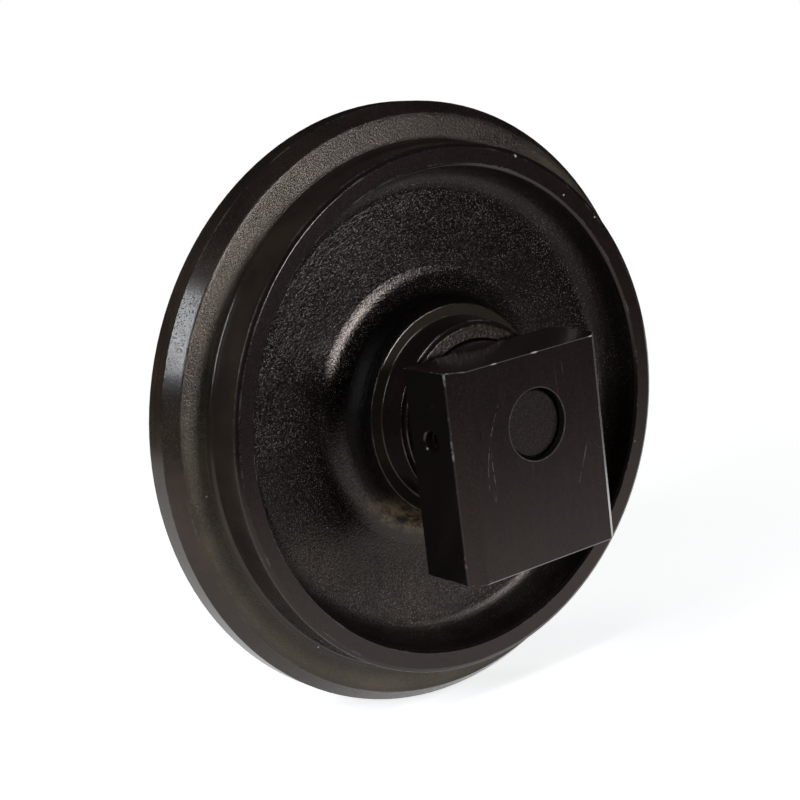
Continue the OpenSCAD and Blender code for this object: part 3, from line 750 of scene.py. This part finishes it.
def casting_paint(paint, dirt, wheel):
    """Black paint on the wheel: grainy on cast faces, smooth on machined ones, rubbed at the edges, with
    painted glints on the grain, painted shade on the hub's side and edge lines that are partly painted
    highlights.
    """
    material, tree, shader, position = new_material("casting_paint")
    place = use(tree, Groups.place, Position=position)
    zones = wheel_zones(tree, wheel, place)
    coarse = use(tree, Groups.grain, Position=position, Size=paint.cast_grain)
    fine = use(tree, Groups.grain, Position=position, Size=paint.side_grain)
    masks = wheel_dirt_and_glints(tree, dirt, position, zones, coarse["Tips"], fine["Tips"])
    wear = use(tree, Groups.wear, Position=position, Edge=wheel_edge(tree, wheel, place), Least=0.0)
    colour = coats(
        tree, paint_colour(tree, paint, position),
        (product(tree, zones.cast, dirt.deep), rgba(paint.deep_paint_and_shade)),
        # painted shade: plain black on the hub's side
        (product(tree, zones.hub, dirt.hub_painted_shade), BLACK),
        # painted glints on the cast grain's tips
        (masks.painted_glint, rgba(paint.tips)),
        (masks.film, rgba(paint.film)),
        (masks.dust, rgba(paint.dust)),
        (masks.clay, rgba(paint.clay)),
        # lighter edge lines: partly rubbed paint, partly painted highlights
        (product(tree, wear["Rubbed"], dirt.rubbed), rgba(paint.worn)),
        (largest(tree, wear["Speck"], nicks(tree, position, WHEEL_NICKS, ROUND_NICK)), rgba(paint.speck)),
    )

    # A dark metal mirrors less than paint, so it stands in for the hollows and the shaded faces
    hollow_share = sum_of(tree, dirt.hollow_shade, (zones.fillet, -dirt.fillet_light))
    hollows = product(tree, zones.cast, fall(tree, coarse["Height"], *HOLLOW_HEIGHTS), hollow_share)
    bare_hub = product(tree, zones.hub, calc(tree, "SUBTRACT", 1.0, masks.clay), dirt.hub_shade)
    shaded = largest(tree, hollows, bare_hub, product(tree, zones.wall, dirt.wall_shade))
    tree.links.new(shaded, shader.inputs["Metallic"])

    pits = product(tree, zones.chamfer, cloud(tree, position, CHAMFER_PITS))
    rough = sum_of(
        tree, paint.roughness,
        (zones.cast, paint.cast_roughness - paint.roughness),
        (largest(tree, zones.side, zones.end), paint.side_roughness - paint.roughness),
        (largest(tree, zones.hub, zones.wall), paint.hub_roughness - paint.cast_roughness),
        (masks.smear, dirt.film_rough),
        (pits, dirt.pit_rough),
    )

    deeper = sum_of(tree, 1.0, (zones.hub, dirt.hub_depth))
    height = product(tree, coarse["Height"], paint.cast_depth, zones.cast, deeper)
    grainy = largest(tree, zones.side, product(tree, zones.end, dirt.end_depth))
    side_height = product(tree, fine["Height"], paint.side_depth, grainy)
    peel = noise(tree, position, paint.peel_grain)
    height = sum_of(tree, calc(tree, "ADD", height, side_height), (peel, paint.peel_depth))
    finish_paint(tree, shader, paint, colour, rough, height)
    return material


def block_wear(tree, wear, block, box, position):
    """The shared wear of a guide block, strongest along the top of its outer face; its lighter edge lines are
    partly wear and partly painted highlights.
    """
    low, high = box
    face = max(-low.y, high.y)
    away = use(
        tree, Groups.block_edge, Position=position, Half_width=high.x, Top=block.up, Bottom=-block.down,
        Front=face, Chamfer_width=block.chamfer_w, Chamfer_depth=block.chamfer_t,
    )["Distance"]
    place = use(tree, Groups.place, Position=position)
    mouth = use(
        tree, Groups.edge, Radius=place["Radius"], Station=place["Station"],
        Edge_radius=block.bore_radius, Edge_station=face, Width=block.edge_width,
    )["Mask"]
    edge = largest(tree, fall(tree, away, 0.0, block.edge_width), mouth)
    front = ramp(tree, place["Station"], face - block.front_width, face - MARGIN)
    level = parts_of(tree, position)["Z"]
    crest = product(tree, front, ramp(tree, level, block.up - block.crest_width, block.up - MARGIN))
    # lighter edge lines: partly rubbed paint, partly painted highlights
    least = sum_of(tree, wear.edge_rub_and_highlight, (front, wear.front_rub_and_highlight), (crest, wear.crest_rub_and_highlight))
    return use(tree, Groups.wear, Position=position, Edge=edge, Least=least)


def block_paint(paint, wear, block, box):
    """Black paint on a guide block: smooth, rubbed at its edges and scratched on its faces, with painted shade
    on its side faces and edge lines that are partly painted highlights.
    """
    material, tree, shader, position = new_material("block_paint")
    half_width = box[1].x
    worn = block_wear(tree, wear, block, box, position)
    streaks = cloud(tree, stretched(tree, position, STREAK_DRAW), BLOCK_STREAKS)
    aside = calc(tree, "ABSOLUTE", parts_of(tree, position)["X"])
    # Painted shade: the blocks' side faces take deep paint
    side_face_shade = ramp(tree, aside, half_width - SOFT_EDGE, half_width - 0.5 * SOFT_EDGE)
    arcs = arc_scratches(tree, position, BLOCK_SCRATCHES, block.scratch_width)
    arcs = product(tree, arcs, cloud(tree, position, SCRATCH_GAPS), wear.arc_scratch)
    colour = coats(
        tree, paint_colour(tree, paint, position),
        (product(tree, streaks, wear.streak), rgba(paint.paint_warm)),
        (product(tree, cloud(tree, position, BLOCK_GRIT), wear.grit), rgba(paint.film)),
        # painted shade: deep paint on the side faces
        (product(tree, side_face_shade, wear.flank_painted_shade), rgba(paint.deep_paint_and_shade)),
        # lighter edge lines: partly rubbed paint, partly painted highlights
        (worn["Rubbed"], rgba(paint.worn)),
        (largest(tree, arcs, product(tree, worn["Scratch"], wear.fine_scratch)), rgba(paint.worn)),
        (largest(tree, worn["Speck"], nicks(tree, position, BLOCK_NICKS, LONG_NICK)), rgba(paint.speck)),
    )
    height = product(tree, noise(tree, position, paint.peel_grain), paint.peel_depth)
    rough = sum_of(tree, paint.roughness, (noise(tree, position, GLOSS_DRIFT_SIZE, 3.0), wear.rough_drift))
    finish_paint(tree, shader, paint, colour, rough, height)
    return material


def bar_paint(paint, wear):
    """Black paint on the ends of the shaft, the pins and the plug."""
    material, tree, shader, position = new_material("bar_paint")
    worn = use(tree, Groups.wear, Position=position, Edge=0.0, Least=0.0)
    grit = noise(tree, position, GRIT_SIZE)
    colour = coats(
        tree, paint_colour(tree, paint, position),
        (product(tree, ramp(tree, grit, *GRIT_VALUES), wear.bar_grit), rgba(paint.film)),
        (worn["Speck"], rgba(paint.speck)),
    )
    rough = sum_of(tree, paint.roughness, (grit, wear.bar_rough))
    finish_paint(tree, shader, paint, colour, rough, product(tree, grit, paint.peel_depth))
    return material


def inner_material(name, base, dark, roughness, metallic, size):
    """Metal or rubber of the inner pieces, with fine turning marks."""
    material, tree, shader, position = new_material(name)
    tone = noise(tree, position, size, 3.0, 0.6)
    colour = blend(tree, tone, rgba(dark), rgba(base))
    rough = sum_of(tree, roughness, (tone, MARK_ROUGHNESS))
    shader.inputs["Metallic"].default_value = metallic
    finish_surface(tree, shader, colour, rough, product(tree, tone, MARK_DEPTH))
    return material


def dress(names, material):
    """Gives CAD nodes a material."""
    for name in names:
        slots = NODES[name].data.materials
        slots.clear()
        slots.append(material)


class IDLER_OT_wheel(bpy.types.Operator):
    """Paint the cast wheel"""

    bl_idname = "idler.wheel"
    bl_label = "Paint Wheel"

    def execute(self, context):
        Groups.make()
        scene = context.scene
        dress(["wheel"], casting_paint(scene.idler_paint, scene.idler_wheel_dirt, scene.idler_wheel_places))
        return {"FINISHED"}


class IDLER_OT_blocks(bpy.types.Operator):
    """Paint the guide blocks, the shaft, the lock pins and the oil plug"""

    bl_idname = "idler.blocks"
    bl_label = "Paint Blocks and Shaft"

    def execute(self, context):
        Groups.make()
        paint, wear = context.scene.idler_paint, context.scene.idler_block_wear
        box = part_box(BLOCK_NODES[0])
        dress(BLOCK_NODES, block_paint(paint, wear, context.scene.idler_block_places, box))
        dress(["shaft", *SMALL_STEEL_NODES], bar_paint(paint, wear))
        return {"FINISHED"}


class IDLER_OT_inside(bpy.types.Operator):
    """Finish the bushes, washers and seals inside the hub"""

    bl_idname = "idler.inside"
    bl_label = "Finish Bearings and Seals"

    def execute(self, context):
        steel = inner_material(
            "seal_steel", base=(0.45, 0.46, 0.48), dark=(0.36, 0.36, 0.38),
            roughness=0.22, metallic=1.0, size=1.2 * MM,
        )
        bronze = inner_material(
            "bearing_bronze", base=(0.55, 0.36, 0.16), dark=(0.44, 0.28, 0.12),
            roughness=0.32, metallic=1.0, size=1.5 * MM,
        )
        rubber = inner_material(
            "seal_rubber", base=(0.022, 0.022, 0.024), dark=(0.012, 0.012, 0.013),
            roughness=0.6, metallic=0.0, size=0.8 * MM,
        )
        dress(SEAL_METAL_NODES, steel)
        dress(BRONZE_NODES, bronze)
        dress(RUBBER_NODES, rubber)
        return {"FINISHED"}


class Lamp(NamedTuple):
    """A soft lamp, its direction and distance from the wheel, and whether the paint mirrors it"""

    name: str
    towards: tuple
    distance: float
    size: tuple
    power: float
    colour: tuple
    mirrored: bool


LEFT = (-0.85, -0.22, 0.48)
LAMPS = (
    Lamp("front_softbox", (0.30, -0.94, 0.13), 1.60, (0.34, 0.34), 17.0, (0.90, 0.96, 1.0), True),
    Lamp("left_strip", LEFT, 1.30, (0.07, 0.55), 5.8, (0.68, 0.86, 1.0), True),
    Lamp("left_fill", LEFT, 1.30, (0.50, 0.50), 5.0, (1.0, 0.94, 0.88), False),
    Lamp("right_fill", (0.93, -0.30, -0.02), 1.50, (0.20, 0.30), 2.0, (0.80, 0.92, 1.0), False),
    Lamp("back_softbox", (0.00, 1.00, 0.05), 1.60, (0.34, 0.34), 10.0, (0.92, 0.96, 1.0), True),
    Lamp("top_fill", (0.10, 0.20, 1.00), 1.50, (1.00, 1.00), 2.0, (1.0, 0.96, 0.92), False),
)


def white_for_looks(tree, plain, white):
    """Shows the camera and reflections a white shader, and other rays the plain one."""
    path = add(tree, "ShaderNodeLightPath").outputs
    seen = largest(tree, path["Is Camera Ray"], path["Is Glossy Ray"], path["Is Transmission Ray"])
    return add(tree, "ShaderNodeMixShader", {0: seen, 1: plain, 2: white}).outputs[0]


def empty_material(name):
    """A material without nodes, and its Object coordinates."""
    material = bpy.data.materials.new(name)
    material.use_nodes = True
    tree = material.node_tree
    tree.nodes.clear()
    return material, tree, add(tree, "ShaderNodeTexCoord").outputs["Object"]


def build_world(stage):
    """Even light all round, with a white background."""
    world = bpy.data.worlds.new("studio")
    bpy.context.scene.world = world
    world.use_nodes = True
    tree = world.node_tree
    tree.nodes.clear()
    even = add(tree, "ShaderNodeBackground", {"Color": WHITE, "Strength": stage.ambient})
    white = add(tree, "ShaderNodeBackground", {"Color": WHITE, "Strength": 1.0})
    out = add(tree, "ShaderNodeOutputWorld")
    tree.links.new(white_for_looks(tree, even.outputs[0], white.outputs[0]), out.inputs["Surface"])


def build_floor(stage):
    """Pale floor under the wheel, which keeps the object's shadow and fades to plain white."""
    bpy.ops.mesh.primitive_plane_add(size=stage.floor_size, location=(0.0, 0.0, FLOOR_Z))
    floor = bpy.context.object
    floor.name = "floor"
    material, tree, position = empty_material("floor")
    matt = add(tree, "ShaderNodeBsdfDiffuse", {"Color": FLOOR_GREY})
    lift = add(tree, "ShaderNodeEmission", {"Color": WHITE, "Strength": stage.floor_lift})
    shaded = add(tree, "ShaderNodeAddShader", {0: matt.outputs[0], 1: lift.outputs[0]})
    plain = add(tree, "ShaderNodeEmission", {"Color": WHITE, "Strength": 1.0})
    away = ramp(tree, length_of(tree, position), stage.shadow_inner, stage.shadow_outer)
    white = add(tree, "ShaderNodeMixShader", {0: away, 1: shaded.outputs[0], 2: plain.outputs[0]})
    out = add(tree, "ShaderNodeOutputMaterial")
    tree.links.new(white_for_looks(tree, matt.outputs[0], white.outputs[0]), out.inputs["Surface"])
    floor.data.materials.append(material)


def tent_mesh(radius):
    """A dome with a flat bottom just above the floor."""
    mesh = bpy.data.meshes.new("dark_tent")
    shape = bmesh.new()
    bmesh.ops.create_uvsphere(shape, u_segments=32, v_segments=16, radius=radius)
    bmesh.ops.bisect_plane(
        shape, geom=[*shape.verts, *shape.edges, *shape.faces],
        plane_co=(0.0, 0.0, FLOOR_Z + MM), plane_no=(0.0, 0.0, 1.0), clear_inner=True,
    )
    bmesh.ops.holes_fill(shape, edges=shape.edges)
    shape.to_mesh(mesh)
    shape.free()
    return mesh


def build_tent(stage):
    """A dark tent that leaves a soft-edged table of pale floor, which only mirror reflections see."""
    mesh = tent_mesh(stage.tent_radius)
    tent = bpy.data.objects.new("dark_tent", mesh)
    bpy.context.scene.collection.objects.link(tent)
    material, tree, position = empty_material("dark_cloth")
    ahead = calc(tree, "MULTIPLY", parts_of(tree, position)["Y"], -1.0)
    share = largest(
        tree, ramp(tree, ahead, stage.table_front, stage.table_end),
        ramp(tree, length_of(tree, position), stage.table_inner, stage.table_outer),
    )
    cloth = add(tree, "ShaderNodeBsdfDiffuse", {"Color": CLOTH_GREY})
    clear = add(tree, "ShaderNodeBsdfTransparent")
    mixed = add(tree, "ShaderNodeMixShader", {0: share, 1: clear.outputs[0], 2: cloth.outputs[0]})
    out = add(tree, "ShaderNodeOutputMaterial")
    tree.links.new(mixed.outputs[0], out.inputs["Surface"])
    mesh.materials.append(material)
    for ray in ("camera", "diffuse", "transmission", "volume_scatter", "shadow"):
        setattr(tent, f"visible_{ray}", False)


def build_lamp(lamp):
    """A soft lamp that shines on the wheel's middle from its direction."""
    data = bpy.data.lights.new(lamp.name, "AREA")
    data.shape = "RECTANGLE"
    data.size, data.size_y = lamp.size
    data.energy = lamp.power
    data.color = lamp.colour
    made = bpy.data.objects.new(lamp.name, data)
    direction = Vector(lamp.towards).normalized()
    made.location = direction * lamp.distance
    made.rotation_mode = "QUATERNION"
    made.rotation_quaternion = (-direction).to_track_quat("-Z", "Y")
    made.visible_glossy = lamp.mirrored
    bpy.context.scene.collection.objects.link(made)


def build_camera(stage):
    """The camera at the photograph's angle."""
    data = bpy.data.cameras.new("camera")
    data.lens = stage.camera_lens
    data.sensor_width = 36.0
    camera = bpy.data.objects.new("camera", data)
    turn, rise = stage.camera_azimuth, stage.camera_elevation
    back = Vector((math.sin(turn) * math.cos(rise), -math.cos(turn) * math.cos(rise), math.sin(rise)))
    camera.location = Vector(stage.camera_target) + back * stage.camera_distance
    camera.rotation_mode = "QUATERNION"
    level = (-back).to_track_quat("-Z", "Y")
    camera.rotation_quaternion = level @ Quaternion((0.0, 0.0, 1.0), stage.camera_roll)
    bpy.context.scene.collection.objects.link(camera)
    bpy.context.scene.camera = camera


class IDLER_OT_stage(bpy.types.Operator):
    """Build the floor, the lamps and the camera"""

    bl_idname = "idler.stage"
    bl_label = "Build Stage"

    def execute(self, context):
        stage = context.scene.idler_stage
        context.scene.view_settings.view_transform = "Standard"
        build_world(stage)
        build_floor(stage)
        build_tent(stage)
        for lamp in LAMPS:
            build_lamp(lamp)
        build_camera(stage)
        return {"FINISHED"}


class IDLER_PT_panel(bpy.types.Panel):
    """Lists the idler's operators and values"""

    bl_idname = "IDLER_PT_panel"
    bl_label = "Excavator Front Idler"
    bl_space_type = "VIEW_3D"
    bl_region_type = "UI"
    bl_category = "Idler"

    def draw(self, context):
        column = self.layout.column(align=True)
        for operator in OPERATORS:
            column.operator(operator.bl_idname)
        for setting in SETTINGS:
            group = getattr(context.scene, setting)
            column.separator()
            for name in group.__annotations__:
                column.prop(group, name)


OPERATORS = (IDLER_OT_wheel, IDLER_OT_blocks, IDLER_OT_inside, IDLER_OT_stage)
SETTINGS = {
    "idler_paint": IdlerPaint,
    "idler_wheel_dirt": IdlerWheelDirtAndPaintedLight,
    "idler_wheel_places": IdlerWheelPlaces,
    "idler_block_wear": IdlerBlockWearAndPaintedLight,
    "idler_block_places": IdlerBlockPlaces,
    "idler_stage": IdlerStage,
}
CLASSES = (*SETTINGS.values(), *OPERATORS, IDLER_PT_panel)


def register():
    for cls in CLASSES:
        bpy.utils.register_class(cls)
    for name, group in SETTINGS.items():
        setattr(bpy.types.Scene, name, bpy.props.PointerProperty(type=group))


def unregister():
    for name in SETTINGS:
        delattr(bpy.types.Scene, name)
    for cls in reversed(CLASSES):
        bpy.utils.unregister_class(cls)


def main():
    register()
    bpy.ops.idler.stage()
    bpy.ops.idler.wheel()
    bpy.ops.idler.blocks()
    bpy.ops.idler.inside()


if __name__ == "__main__":
    main()
